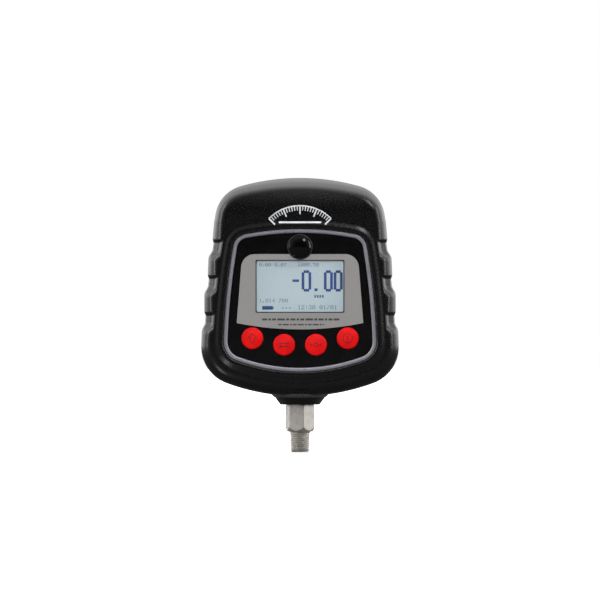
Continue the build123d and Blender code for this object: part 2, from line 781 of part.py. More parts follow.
PIECES = {
    "rubber_boot": rubber_boot,
    "front_case": front_case,
    "rear_case": rear_case,
    "case_gasket": case_gasket,
    "case_screws": case_screws,
    "trim_ring": trim_ring,
    "front_overlay": front_overlay,
    "display_panel": display_panel,
    "display_window": display_window,
    "sensor_lens": sensor_lens,
    "sensor_lens_ring": sensor_lens_ring,
    "keypad_mat": keypad_mat,
    "tact_switches": tact_switches,
    "lcd_frame": lcd_frame,
    "lcd_glass": lcd_glass,
    "lcd_backlight": lcd_backlight,
    "lcd_connector": lcd_connector,
    "main_board": main_board,
    "board_screws": board_screws,
    "board_components": board_components,
    "buzzer": buzzer,
    "clock_cell_holder": clock_cell_holder,
    "clock_cell": clock_cell,
    "pressure_fitting": pressure_fitting,
    "fitting_seal": fitting_seal,
    "port_collar": port_collar,
    "fitting_washer": fitting_washer,
    "fitting_nut": fitting_nut,
    "sensor_capsule": sensor_capsule,
    "sensor_cap": sensor_cap,
    "sensor_ribbon": sensor_ribbon,
    "battery_tray": battery_tray,
    "battery_cells": battery_cells,
    "battery_springs": battery_springs,
    "battery_contacts": battery_contacts,
    "battery_door": battery_door,
    "door_gasket": door_gasket,
    "door_inserts": door_inserts,
}


def main():
    os.makedirs("parts", exist_ok=True)
    for name, make in PIECES.items():
        write(name, make())
    for name, x, z in KEYS:
        write(name + "_cap", key_cap(x, z))
        write(name + "_plunger", key_plunger(x, z))
    write("door_screw_left", door_screw(-1))
    write("door_screw_right", door_screw(1))


main()
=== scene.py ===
import math

import bmesh
import bpy
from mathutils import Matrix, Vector


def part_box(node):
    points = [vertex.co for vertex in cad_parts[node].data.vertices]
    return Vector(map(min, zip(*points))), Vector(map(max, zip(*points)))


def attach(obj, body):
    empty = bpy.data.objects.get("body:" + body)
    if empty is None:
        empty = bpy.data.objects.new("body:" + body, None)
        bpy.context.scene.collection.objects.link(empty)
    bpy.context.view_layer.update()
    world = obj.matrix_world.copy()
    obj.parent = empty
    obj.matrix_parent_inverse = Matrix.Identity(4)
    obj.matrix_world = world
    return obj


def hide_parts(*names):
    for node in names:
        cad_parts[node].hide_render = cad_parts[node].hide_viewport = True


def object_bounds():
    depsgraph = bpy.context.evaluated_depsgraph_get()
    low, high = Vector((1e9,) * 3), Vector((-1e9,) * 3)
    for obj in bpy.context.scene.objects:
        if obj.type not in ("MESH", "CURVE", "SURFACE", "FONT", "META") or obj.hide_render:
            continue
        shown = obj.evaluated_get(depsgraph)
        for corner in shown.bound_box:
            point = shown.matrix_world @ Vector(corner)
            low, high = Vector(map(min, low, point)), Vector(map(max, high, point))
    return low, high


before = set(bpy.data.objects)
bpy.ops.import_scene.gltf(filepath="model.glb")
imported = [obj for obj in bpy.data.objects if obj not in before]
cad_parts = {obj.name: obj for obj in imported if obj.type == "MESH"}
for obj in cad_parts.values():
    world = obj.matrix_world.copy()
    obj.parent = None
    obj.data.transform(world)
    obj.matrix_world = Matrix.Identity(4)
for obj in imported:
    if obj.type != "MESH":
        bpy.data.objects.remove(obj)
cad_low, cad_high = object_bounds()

# The looks of a hand-held digital pressure gauge. Lengths below are in millimetres and are turned into
# metres where a mesh is made. X is to the right, the display faces -Y and +Z is up.
MM = 0.001


def span(node):
    """Lowest and highest corner of a CAD node, in millimetres."""
    low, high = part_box(node)
    return low / MM, high / MM


BOOT_LOW, BOOT_HIGH = span("rubber_boot")
PORT_HIGH = span("pressure_fitting")[1]
TRIM_LOW, TRIM_HIGH = span("trim_ring")
OVERLAY_HIGH = span("front_overlay")[1]
PANEL_LOW = span("display_panel")[0]
COLLAR_LOW, COLLAR_HIGH = span("port_collar")
DOOR_LOW, DOOR_HIGH = span("battery_door")
GLASS_LOW = span("lcd_glass")[0]

# Body shape, as the boot is built
FRONT_ROUND = 8.0
BACK_ROUND = 11.0
CROWN_Z = 158.0
CROWN_RADIUS = 34.0
LIP_RISE = 1.2
BODY_BOTTOM = 37.0
BODY_TOP = BOOT_HIGH.z
BACK_Y = BOOT_HIGH.y
FRONT_Y = BOOT_LOW.y + LIP_RISE
BOOT_WALL = 2.6
GRIP_EXTRA = 2.6


# Mesh helpers ------------------------------------------------------------------------------------

def mesh_object(name, vertices, faces):
    mesh = bpy.data.meshes.new(name)
    mesh.from_pydata([Vector(v) * MM for v in vertices], [], faces)
    mesh.validate()
    piece = bpy.data.objects.new(name, mesh)
    bpy.context.scene.collection.objects.link(piece)
    return piece


def shade(piece, sharp_degrees):
    """Smooth shading, with creases where two faces meet at more than the given angle."""
    bm = bmesh.new()
    bm.from_mesh(piece.data)
    bmesh.ops.recalc_face_normals(bm, faces=bm.faces)
    limit = math.radians(sharp_degrees)
    for face in bm.faces:
        face.smooth = True
    for edge in bm.edges:
        edge.smooth = len(edge.link_faces) != 2 or edge.calc_face_angle(0.0) < limit
    bm.to_mesh(piece.data)
    bm.free()
    return piece


def grid(name, rows, sharp_degrees):
    """A mesh of quads through equal rows of points, closed both along the rows and across them."""
    count = len(rows[0])
    vertices = [point for row in rows for point in row]
    faces = []
    for i in range(len(rows)):
        below = i * count
        above = ((i + 1) % len(rows)) * count
        for j in range(count):
            k = (j + 1) % count
            faces.append((below + j, below + k, above + k, above + j))
    return shade(mesh_object(name, vertices, faces), sharp_degrees)


def weld(piece):
    """Joins vertices that share a place."""
    bm = bmesh.new()
    bm.from_mesh(piece.data)
    bmesh.ops.remove_doubles(bm, verts=bm.verts, dist=1e-6)
    bmesh.ops.dissolve_degenerate(bm, edges=bm.edges, dist=1e-7)
    bm.to_mesh(piece.data)
    bm.free()
    piece.data.validate()


def lathe(name, profile, segments=96, centre=(0.0, 0.0), sharp_degrees=32.0, axis="Z"):
    """Turns a closed profile of (radius, height) points about an axis along Z or Y."""
    rows = []
    for radius, height in profile:
        row = []
        for step in range(segments):
            angle = 2 * math.pi * step / segments
            across = radius * math.cos(angle)
            along = radius * math.sin(angle)
            if axis == "Z":
                row.append((centre[0] + across, centre[1] + along, height))
            else:
                row.append((centre[0] + across, height, centre[1] + along))
        rows.append(row)
    piece = grid(name, rows, sharp_degrees=180)
    weld(piece)
    return shade(piece, sharp_degrees)


def flat_ink(name, outlines, front_y, thickness=0.06):
    """Thin closed plates, one for each outline of (X, Z) points, printed on a face that looks towards -Y."""
    vertices = []
    faces = []
    for outline in outlines:
        start = len(vertices)
        count = len(outline)
        vertices += [(x, front_y, z) for x, z in outline]
        vertices += [(x, front_y + thickness, z) for x, z in outline]
        faces.append(tuple(range(start, start + count)))
        faces.append(tuple(range(start + 2 * count - 1, start + count - 1, -1)))
        for i in range(count):
            k = (i + 1) % count
            faces.append((start + k, start + i, start + count + i, start + count + k))
    return shade(mesh_object(name, vertices, faces), 20.0)


def bar(x0, z0, x1, z1):
    return [(x0, z0), (x1, z0), (x1, z1), (x0, z1)]


def ring_quads(centre, inner, outer, start=0.0, end=360.0, steps=48):
    """A flat ring or arc, as quads, so that each is a simple outline."""
    quads = []
    for step in range(steps):
        a = math.radians(start + (end - start) * step / steps)
        b = math.radians(start + (end - start) * (step + 1) / steps)
        quads.append([
            (centre[0] + inner * math.cos(a), centre[1] + inner * math.sin(a)),
            (centre[0] + outer * math.cos(a), centre[1] + outer * math.sin(a)),
            (centre[0] + outer * math.cos(b), centre[1] + outer * math.sin(b)),
            (centre[0] + inner * math.cos(b), centre[1] + inner * math.sin(b)),
        ])
    return quads


def stroke(x0, z0, x1, z1, width):
    """A straight line of some width, as an outline."""
    along = Vector((x1 - x0, z1 - z0)).normalized() * width / 2
    side = Vector((-along.y, along.x))
    a = Vector((x0, z0))
    b = Vector((x1, z1))
    return [tuple(a - side), tuple(b - side), tuple(b + side), tuple(a + side)]


# Material helpers --------------------------------------------------------------------------------

SOCKETS = {
    "specular": "Specular IOR Level",
    "transmission": "Transmission Weight",
    "ior": "IOR",
    "coat": "Coat Weight",
    "coat_roughness": "Coat Roughness",
    "emission": "Emission Color",
}


class Finish:
    """A procedural material: a Principled shader with noise in its colour, roughness and surface."""

    def __init__(self, name, colour, roughness, metallic=0.0, **sockets):
        self.material = bpy.data.materials.new(name)
        self.material.use_nodes = True
        self.nodes = self.material.node_tree.nodes
        self.links = self.material.node_tree.links
        self.shader = self.nodes["Principled BSDF"]
        self.shader.inputs["Base Color"].default_value = (*colour, 1.0)
        self.shader.inputs["Roughness"].default_value = roughness
        self.shader.inputs["Metallic"].default_value = metallic
        for socket, value in sockets.items():
            self.shader.inputs[SOCKETS[socket]].default_value = value
        self.colour = colour
        self.place = self.nodes.new("ShaderNodeTexCoord")
        self.bump = None

    def stretched(self, stretch):
        mapping = self.nodes.new("ShaderNodeMapping")
        mapping.inputs["Scale"].default_value = stretch
        self.links.new(self.place.outputs["Object"], mapping.inputs["Vector"])
        return mapping.outputs["Vector"]

    def noise(self, size_mm, detail, stretch=(1.0, 1.0, 1.0)):
        texture = self.nodes.new("ShaderNodeTexNoise")
        texture.inputs["Scale"].default_value = 1.0 / (size_mm * MM)
        texture.inputs["Detail"].default_value = detail
        texture.inputs["Roughness"].default_value = 0.5
        self.links.new(self.stretched(stretch), texture.inputs["Vector"])
        return texture.outputs["Fac"]

    def cells(self, size_mm):
        texture = self.nodes.new("ShaderNodeTexVoronoi")
        texture.inputs["Scale"].default_value = 1.0 / (size_mm * MM)
        self.links.new(self.place.outputs["Object"], texture.inputs["Vector"])
        return texture.outputs["Distance"]

    def ranged(self, factor, low, high, from_low=0.3, from_high=0.7):
        ramp = self.nodes.new("ShaderNodeMapRange")
        ramp.inputs["From Min"].default_value = from_low
        ramp.inputs["From Max"].default_value = from_high
        ramp.inputs["To Min"].default_value = low
        ramp.inputs["To Max"].default_value = high
        self.links.new(factor, ramp.inputs["Value"])
        return ramp.outputs["Result"]

    def vary_colour(self, factor, other, from_low=0.35, from_high=0.65):
        mix = self.nodes.new("ShaderNodeMix")
        mix.data_type = "RGBA"
        mix.inputs["A"].default_value = (*self.colour, 1.0)
        mix.inputs["B"].default_value = (*other, 1.0)
        self.links.new(self.ranged(factor, 0.0, 1.0, from_low, from_high), mix.inputs["Factor"])
        self.links.new(mix.outputs["Result"], self.shader.inputs["Base Color"])

    def vary_roughness(self, factor, low, high):
        self.links.new(self.ranged(factor, low, high), self.shader.inputs["Roughness"])

    def raise_surface(self, factor, height_mm):
        bump = self.nodes.new("ShaderNodeBump")
        bump.inputs["Strength"].default_value = 1.0
        bump.inputs["Distance"].default_value = height_mm * MM
        self.links.new(factor, bump.inputs["Height"])
        if self.bump is not None:
            self.links.new(self.bump.outputs["Normal"], bump.inputs["Normal"])
        self.links.new(bump.outputs["Normal"], self.shader.inputs["Normal"])
        self.bump = bump


def rubber(name, colour, roughness, grain_mm=0.3, grain_height=0.0014):
    finish = Finish(name, colour, roughness, specular=0.56)
    worn = tuple(min(1.0, c * 1.3 + 0.0005) for c in colour)
    finish.vary_colour(finish.noise(3.0, 5.0), worn)
    finish.vary_roughness(finish.noise(1.2, 5.0), roughness - 0.02, roughness + 0.03)
    finish.raise_surface(finish.noise(grain_mm, 3.0), grain_height)
    finish.raise_surface(finish.noise(22.0, 2.0), 0.004)
    return finish.material


def moulded(name, colour, roughness, grain_mm=0.5, grain_height=0.012, **sockets):
    finish = Finish(name, colour, roughness, **sockets)
    other = tuple(min(1.0, c * 1.25 + 0.001) for c in colour)
    finish.vary_colour(finish.noise(6.0, 3.0), other)
    finish.vary_roughness(finish.noise(2.5, 4.0), roughness * 0.85, roughness * 1.2)
    finish.raise_surface(finish.noise(grain_mm, 2.0), grain_height)
    return finish.material


def metal(name, colour, roughness, stretch=(1.0, 1.0, 1.0), line_mm=0.12, line_height=0.006, metallic=1.0):
    """Machined or drawn metal, whose fine lines run where stretch is small."""
    finish = Finish(name, colour, roughness, metallic)
    darker = tuple(c * 0.8 for c in colour)
    finish.vary_colour(finish.noise(3.0, 4.0), darker)
    finish.vary_roughness(finish.noise(line_mm * 3, 4.0, stretch), roughness * 0.75, roughness * 1.3)
    finish.raise_surface(finish.noise(line_mm, 3.0, stretch), line_height)
    return finish.material


# Materials ---------------------------------------------------------------------------------------

boot_rubber = rubber("boot_rubber", (0.0024, 0.0024, 0.0027), 0.27)
# Much lighter grey than the boot rubber: a painted highlight along the edge of the neck band.
neck_band_painted_highlight = rubber("neck_band_painted_highlight", (0.07, 0.07, 0.071), 0.45)
seal_rubber = rubber("seal_rubber", (0.012, 0.012, 0.012), 0.45)
mat_silicone = rubber("mat_silicone", (0.16, 0.16, 0.165), 0.5)
case_plastic = moulded("case_plastic", (0.014, 0.014, 0.015), 0.42, 0.45, 0.02)
collar_plastic = moulded("collar_plastic", (0.004, 0.004, 0.0045), 0.28)
switch_plastic = moulded("switch_plastic", (0.02, 0.02, 0.022), 0.45)
overlay_gloss = moulded("overlay_gloss", (0.0022, 0.0022, 0.0026), 0.14, 1.6, 0.004)
lens_gloss = moulded("lens_gloss", (0.0015, 0.0015, 0.002), 0.09, 4.0, 0.002, specular=0.3)
lens_bezel = moulded("lens_bezel", (0.02, 0.02, 0.022), 0.2)
key_red = moulded("key_red", (0.72, 0.002, 0.003), 0.42, 0.4, 0.006, specular=0.25)
key_ink = moulded("key_ink", (0.16, 0.004, 0.004), 0.5)
panel_ink = moulded("panel_ink", (0.045, 0.045, 0.047), 0.55)
mark_ink = moulded("mark_ink", (0.62, 0.64, 0.66), 0.5)
display_ink = moulded("display_ink", (0.022, 0.06, 0.24), 0.6)
display_faint_ink = moulded("display_faint_ink", (0.1, 0.16, 0.27), 0.6)
board_mask = moulded("board_mask", (0.012, 0.085, 0.03), 0.35, 1.2, 0.02)
chip_plastic = moulded("chip_plastic", (0.015, 0.015, 0.016), 0.5)
backlight_plastic = moulded("backlight_plastic", (0.82, 0.85, 0.88), 0.4)
film_amber = moulded("film_amber", (0.42, 0.2, 0.05), 0.3)
cell_sleeve = moulded("cell_sleeve", (0.02, 0.022, 0.03), 0.25)
screw_steel = metal("screw_steel", (0.52, 0.52, 0.54), 0.3)
tin_plate = metal("tin_plate", (0.62, 0.62, 0.6), 0.28)
brass = metal("brass", (0.62, 0.42, 0.16), 0.3)
turned_steel = metal("turned_steel", (0.57, 0.54, 0.5), 0.36, (1.0, 1.0, 9.0), metallic=0.6)


def trim_lacquer():
    """Satin silver lacquer with a slight violet cast and fine flakes."""
    finish = Finish("trim_lacquer", (0.3, 0.285, 0.325), 0.36, 0.4, coat=0.4, coat_roughness=0.15)
    finish.vary_colour(finish.noise(0.5, 3.0), (0.34, 0.325, 0.365))
    finish.vary_roughness(finish.noise(3.0, 4.0), 0.26, 0.4)
    finish.raise_surface(finish.noise(0.18, 2.0), 0.006)
    return finish.material


def panel_lacquer():
    """Matt silver-grey print with the fine speckle of metallic ink."""
    finish = Finish("panel_lacquer", (0.305, 0.299, 0.291), 0.5, 0.15)
    finish.vary_colour(finish.noise(0.22, 3.0), (0.33, 0.324, 0.316), 0.3, 0.7)
    finish.vary_roughness(finish.noise(4.0, 4.0), 0.45, 0.58)
    finish.raise_surface(finish.noise(0.3, 2.0), 0.005)
    return finish.material


def window_glass():
    """Clear acrylic window: it lets the display show and keeps a faint sheen."""
    finish = Finish("window_glass", (1.0, 1.0, 1.0), 0.04, 0.0, transmission=1.0, ior=1.1)
    finish.raise_surface(finish.noise(18.0, 2.0), 0.004)
    finish.vary_roughness(finish.noise(12.0, 3.0), 0.02, 0.06)
    return finish.material


def display_surface():
    """The pale blue-grey face of the liquid-crystal display, with its faint grid of dots and a painted glow
    in its own tone that keeps it evenly lit behind the window.
    """
    # The emission colour and strength are a painted glow, which stands in for the light falling on the
    # display face.
    finish = Finish("display_surface", (0.25, 0.31, 0.34), 0.38, emission=(0.445, 0.56, 0.605, 1.0))
    finish.shader.inputs["Emission Strength"].default_value = 0.42
    finish.vary_colour(finish.noise(22.0, 2.0), (0.27, 0.33, 0.355))
    finish.vary_roughness(finish.noise(8.0, 3.0), 0.34, 0.44)
    finish.raise_surface(finish.cells(0.46), 0.004)
    return finish.material


trim_silver = trim_lacquer()
panel_silver = panel_lacquer()
window_clear = window_glass()
display_face_painted_glow = display_surface()


def dress(node, material):
    """Gives a CAD node its finished material."""
    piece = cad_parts[node]
    piece.data.materials.clear()
    piece.data.materials.append(material)


def finish_piece(piece, material, body, slot, *replaced):
    piece.data.materials.append(material)
    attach(piece, body)
    if replaced:
        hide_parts(*replaced)
    return piece


# Bowed outlines that the body and the face share ---------------------------------------------------

def circle_through(a, b, c):
    """Centre and radius of the circle through three points."""
    ax, az = a
    bx, bz = b
    cx, cz = c
    d = 2 * (ax * (bz - cz) + bx * (cz - az) + cx * (az - bz))
    aa = ax * ax + az * az
    bb = bx * bx + bz * bz
    cc = cx * cx + cz * cz
    x = (aa * (bz - cz) + bb * (cz - az) + cc * (az - bz)) / d
    z = (aa * (cx - bx) + bb * (ax - cx) + cc * (bx - ax)) / d
    return (x, z), math.hypot(ax - x, az - z)


def circles_meet(centre_a, radius_a, centre_b, radius_b):
    """The two points where two circles cross."""
    dx = centre_b[0] - centre_a[0]
    dz = centre_b[1] - centre_a[1]
    gap = math.hypot(dx, dz)
    along = (radius_a**2 - radius_b**2 + gap**2) / (2 * gap)
    across = math.sqrt(max(0.0, radius_a**2 - along**2))
    foot = (centre_a[0] + along * dx / gap, centre_a[1] + along * dz / gap)
    return [
        (foot[0] + sign * across * dz / gap, foot[1] - sign * across * dx / gap) for sign in (-1, 1)
    ]


# How many steps each stretch of a half outline has: bottom, corner, side, corner, top
STEPS = (44, 26, 230, 22, 44)


class Shield:
    """Four bowed edges with rounded corners, sampled evenly, with the outward direction at each point."""

    def __init__(self, bottom, top, arcs, side, corners):
        bottom_arc, top_arc = arcs
        lower_corner, upper_corner = corners
        low = (0.0, bottom + bottom_arc)
        high = (0.0, top - top_arc)
        middle, side_arc = circle_through(*side)
        lower = circles_meet(low, bottom_arc - lower_corner, middle, side_arc - lower_corner)
        lower = min((p for p in lower if p[0] > 0), key=lambda p: p[1])
        upper = circles_meet(middle, side_arc - upper_corner, high, top_arc - upper_corner)
        upper = max((p for p in upper if p[0] > 0), key=lambda p: p[1])

        def heading(origin, target):
            return math.atan2(target[1] - origin[1], target[0] - origin[0])

        down = -math.pi / 2
        up = math.pi / 2
        stretches = (
            (low, bottom_arc, down, heading(low, lower)),
            (lower, lower_corner, heading(low, lower), heading(middle, lower)),
            (middle, side_arc, heading(middle, lower), heading(middle, upper)),
            (upper, upper_corner, heading(middle, upper), heading(high, upper)),
            (high, top_arc, heading(high, upper), up),
        )
        half = []
        for (centre, radius, start, end), steps in zip(stretches, STEPS):
            for step in range(steps):
                angle = start + (end - start) * step / steps
                half.append((centre, radius, math.cos(angle), math.sin(angle)))
        half.append((high, top_arc, 0.0, 1.0))
        mirrored = [((-c[0], c[1]), r, -nx, nz) for c, r, nx, nz in reversed(half[1:-1])]
        self.samples = half + mirrored

    def points(self, inset=0.0):
        """(X, Z, outward X, outward Z) all round, moved in by inset."""
        return [
            (c[0] + nx * (r - inset), c[1] + nz * (r - inset), nx, nz) for c, r, nx, nz in self.samples
        ]


BODY = Shield(
    BODY_BOTTOM, BODY_TOP, (140.5, 143.0), ((65.5, 60.0), (62.7, 110.0), (56.3, 155.0)), (25.5, 23.0)
)
TRIM = Shield(54.5, 146.3, (120.0, 194.0), ((49.45, 64.0), (47.35, 103.0), (41.9, 141.8)), (12.0, 9.0))


def rounded_rectangle(half_width, low, high, corner):
    """The same number of points as a Shield has, on a rounded rectangle."""
    bottom, corner_steps, side, top_corner, top = STEPS
    half = []
    for step in range(bottom):
        half.append(((half_width - corner) * step / bottom, low))
    for step in range(corner_steps):
        angle = -math.pi / 2 + math.pi / 2 * step / corner_steps
        x = half_width - corner + corner * math.cos(angle)
        half.append((x, low + corner + corner * math.sin(angle)))
    for step in range(side):
        half.append((half_width, low + corner + (high - low - 2 * corner) * step / side))
    for step in range(top_corner):
        angle = math.pi / 2 * step / top_corner
        x = half_width - corner + corner * math.cos(angle)
        half.append((x, high - corner + corner * math.sin(angle)))
    for step in range(top):
        half.append(((half_width - corner) * (1 - step / top), high))
    half.append((0.0, high))
    mirrored = [(-x, z) for x, z in reversed(half[1:-1])]
    return half + mirrored


# Boot --------------------------------------------------------------------------------------------

CREASES = (140.3, 116.5, 92.1)
SCOOP_REACH = 12.0
SCOOP_STEP = 1.0
SCOOP_DEPTH = 1.9


def ease(t):
    t = max(0.0, min(1.0, t))
    return t * t * (3 - 2 * t)


def scoop_depth(z):
    """How far in the side is at a height: a slope down to each crease, then a deeper hollow."""
    depth = 0.0
    for crease in CREASES:
        below = crease - z
        if -SCOOP_REACH < below < SCOOP_REACH:
            slope = SCOOP_STEP * (1 + min(0.0, below) / SCOOP_REACH)
            step = (SCOOP_DEPTH - SCOOP_STEP) * ease((below + 0.8) / 2.6)
            run_out = 1 - ease((below - 6.0) / (SCOOP_REACH - 6.0))
            depth += (slope + step) * run_out
    return depth


def facet(z):
    """How much the front edge is cut to a slanted facet: fully under each crease."""
    amount = 0.0
    for crease in CREASES:
        below = crease - z
        amount += ease((below + 0.3) / 1.4) * (1 - ease((below - 9.0) / 5.0))
    return amount


def crown(z, inset=0.0):
    """How far the front slopes back near the top."""
    if z <= CROWN_Z:
        return 0.0
    radius = CROWN_RADIUS - inset
    rise = min(z - CROWN_Z, radius * 0.985)
    return radius - math.sqrt(radius * radius - rise * rise)


# The face opening is this far outside the trim's centre line, and the raised lip is this wide
OPENING = 1.5
LIP_WIDTH = 6.4


def lip_height(out):
    """Height of the raised lip at a distance outside the face opening."""
    t = out / LIP_WIDTH
    if t < 0.3:
        return 0.4 + (LIP_RISE - 0.4) * math.sqrt(1 - (1 - min(1.0, t / 0.22)) ** 2)
    return LIP_RISE * (1 - ease((t - 0.3) / 0.7))


def front_surface(x, z):
    """Y of the boot's front above the face, near the middle."""
    out = math.hypot(x, z - 146.3 + 194.0) - 194.0 - OPENING
    return FRONT_Y + crown(z) - (lip_height(out) if out > 0 else 0.0)


def sculpted(x, z, nx, nz, weight):
    """Moves an outline point in by the finger scoops, which are only on the sides."""
    depth = scoop_depth(z) * weight * ease((abs(nx) - 0.55) / 0.35)
    return x - nx * depth, z - nz * depth


def boot_rows():
    """Rows of points from the face opening, over the lip, round the side and to the back opening."""
    rows = []
    opening = TRIM.points(-OPENING)
    seat_y = OVERLAY_HIGH.y + 0.1
    for y in (seat_y, FRONT_Y, FRONT_Y - 0.4):
        rows.append([(x, y, z) for x, z, _, _ in opening])
    lip_steps = 22
    for step in range(1, lip_steps + 1):
        out = LIP_WIDTH * step / lip_steps
        ring = TRIM.points(-OPENING - out)
        rows.append([(x, FRONT_Y - lip_height(out) + crown(z), z) for x, z, _, _ in ring])
    lip_edge = TRIM.points(-OPENING - LIP_WIDTH)
    body_edge = BODY.points(FRONT_ROUND)
    plane_steps = 5
    for step in range(1, plane_steps):
        t = step / plane_steps
        row = []
        for inner, outer in zip(lip_edge, body_edge):
            x = inner[0] + (outer[0] - inner[0]) * t
            z = inner[1] + (outer[1] - inner[1]) * t
            row.append((x, FRONT_Y + crown(z), z))
        rows.append(row)
    for step in range(25):
        angle = math.pi / 2 * step / 24
        inset = FRONT_ROUND * (1 - math.sin(angle))
        row = []
        for x, z, nx, nz in BODY.points(inset):
            back = FRONT_ROUND * (1 - math.cos(angle))
            slanted = 0.62 * (FRONT_ROUND - inset)
            back += max(0.0, slanted - back) * facet(z) * ease((abs(nx) - 0.8) / 0.15)
            y = FRONT_Y + crown(z) + back
            x, z = sculpted(x, z, nx, nz, ease(1.7 * math.sin(angle)))
            row.append((x, y, z))
        rows.append(row)
    side_start = [point[1] for point in rows[-1]]
    side_end = BACK_Y - BACK_ROUND
    for step in range(1, 12):
        t = step / 12
        row = []
        for (x, z, nx, nz), start in zip(BODY.points(), side_start):
            x, z = sculpted(x, z, nx, nz, 1.0)
            row.append((x, start + (side_end - start) * t, z))
        rows.append(row)
    for step in range(17):
        angle = math.pi / 2 * step / 16
        inset = BACK_ROUND * (1 - math.cos(angle))
        y = BACK_Y - BACK_ROUND * (1 - math.sin(angle))
        row = []
        for x, z, nx, nz in BODY.points(inset):
            x, z = sculpted(x, z, nx, nz, 1 - ease(step / 16))
            row.append((x, y, z))
        rows.append(row)
    return rows + boot_back_rows() + boot_inner_rows(opening)


def boot_back_rows():
    """The flat back, with a shallow moulded channel round the battery pad."""
    pad_low, pad_high, pad_half = DOOR_LOW.z - 3.0, DOOR_HIGH.z + 3.0, DOOR_HIGH.x + 3.0
    rows = []
    outer = BODY.points(BACK_ROUND)
    frame_edge = rounded_rectangle(pad_half + 3.4, pad_low - 3.4, min(pad_high + 3.4, 168.6), 8.0)
    for step in range(1, 6):
        t = step / 6
        rows.append([
            (a[0] + (b[0] - a[0]) * t, BACK_Y, a[1] + (b[1] - a[1]) * t) for a, b in zip(outer, frame_edge)
        ])
    rings = ((3.4, 0.0), (3.0, 0.0), (2.6, 0.5), (1.9, 0.7), (1.2, 0.5), (0.8, 0.0), (0.3, 0.0), (0.1, 0.25))
    for out, sink in rings:
        ring = rounded_rectangle(pad_half + out, pad_low - out, pad_high + out, 5.0 + out)
        rows.append([(x, BACK_Y - sink, z) for x, z in ring])
    ring = rounded_rectangle(pad_half + 0.1, pad_low - 0.1, pad_high + 0.1, 5.1)
    rows.append([(x, BACK_Y - BOOT_WALL, z) for x, z in ring])
    return rows


def boot_inner_rows(opening):
    """The hidden inner side, which closes the shell."""
    rows = []
    stations = ((9.0, BACK_Y - BOOT_WALL), (BOOT_WALL, 13.0), (BOOT_WALL, -10.0), (9.5, FRONT_Y + BOOT_WALL))
    for inset, y in stations:
        row = []
        for x, z, nx, nz in BODY.points(inset):
            deeper = GRIP_EXTRA * abs(nx)
            slope = crown(z) if y < 0 else 0.0
            row.append((x - nx * deeper, y + slope, z - nz * deeper))
        rows.append(row)
    rows.append([(x, FRONT_Y + BOOT_WALL, z) for x, z, _, _ in opening])
    return rows


def make_boot():
    boot = grid("boot_skin", boot_rows(), sharp_degrees=34)
    finish_piece(boot, boot_rubber, "housing", "boot_rubber", "rubber_boot")
    rim = BOOT_LOW.z
    inside = COLLAR_HIGH.x + 0.12
    # The bead round the neck takes the lighter grey rubber, which paints the highlight along the neck's edge.
    band_profile = [
        (inside, rim + 2.2),
        (inside, rim + 0.3),
        (inside + 0.3, rim),
        (17.2, rim + 0.15),
        (18.1, rim + 1.0),
        (19.0, rim + 2.0),
        (18.95, rim + 2.2),
    ]
    band = lathe("boot_neck_band", band_profile, 128)
    finish_piece(band, neck_band_painted_highlight, "housing", "boot_rubber", "rubber_boot")
    neck_profile = [
        (inside, rim + 5.0),
        (inside, rim + 2.25),
        (18.9, rim + 2.25),
        (19.3, rim + 2.4),
        (20.2, rim + 3.3),
        (21.1, rim + 4.2),
        (21.4, rim + 5.0),
    ]
    neck = lathe("boot_neck", neck_profile, 128)
    finish_piece(neck, boot_rubber, "housing", "boot_rubber", "rubber_boot")


make_boot()


# Trim ring ---------------------------------------------------------------------------------------

def make_trim():
    half_width = 1.4
    base = TRIM_HIGH.y
    height = TRIM_HIGH.y - TRIM_LOW.y
    rows = [[(x, base, z) for x, z, _, _ in TRIM.points(half_width)]]
    steps = 14
    for step in range(steps + 1):
        angle = math.pi * step / steps
        inset = half_width * math.copysign(abs(math.cos(angle)) ** 0.75, math.cos(angle))
        y = base - height * (0.35 + 0.65 * math.sin(angle) ** 0.8)
        rows.append([(x, y, z) for x, z, _, _ in TRIM.points(inset)])
    rows.append([(x, base, z) for x, z, _, _ in TRIM.points(-half_width)])
    ring = grid("trim_band", rows, sharp_degrees=40)
    finish_piece(ring, trim_silver, "housing", "trim_silver", "trim_ring")


make_trim()


# Port --------------------------------------------------------------------------------------------

THREAD_LENGTH = 13.5
THREAD_PITCH = 25.4 / 18
THREAD_TIP_RADIUS = 5.35
HEX_ACROSS_FLATS = 17.5
HEX_TURN = math.radians(14.0)
HEX_TOP = 31.2
SHANK_RADIUS = 9.0
INLET_RADIUS = 2.25
INLET_DEPTH = 24.0
CAPILLARY_RADIUS = 1.0
PORT_SEGMENTS = 144


def crest_radius(z):
    """The thread tapers by 1 in 16 on its diameter."""
    return 6.42 + z / 32


def thread_radius(z, phase):
    """Radius at a height, and at a part of a pitch: flat crests, flat roots and a chamfered tip."""
    depth = 0.95
    wave = abs(phase - 0.5) * 2
    tooth = max(0.0, min(1.0, (wave - 0.12) / 0.72))
    run_out = ease((z - THREAD_LENGTH + 1.3) / 1.0)
    radius = crest_radius(z) - depth * (1 - tooth) * (1 - run_out)
    chamfer = THREAD_TIP_RADIUS + max(0.0, z) * 0.75
    return min(radius, chamfer)


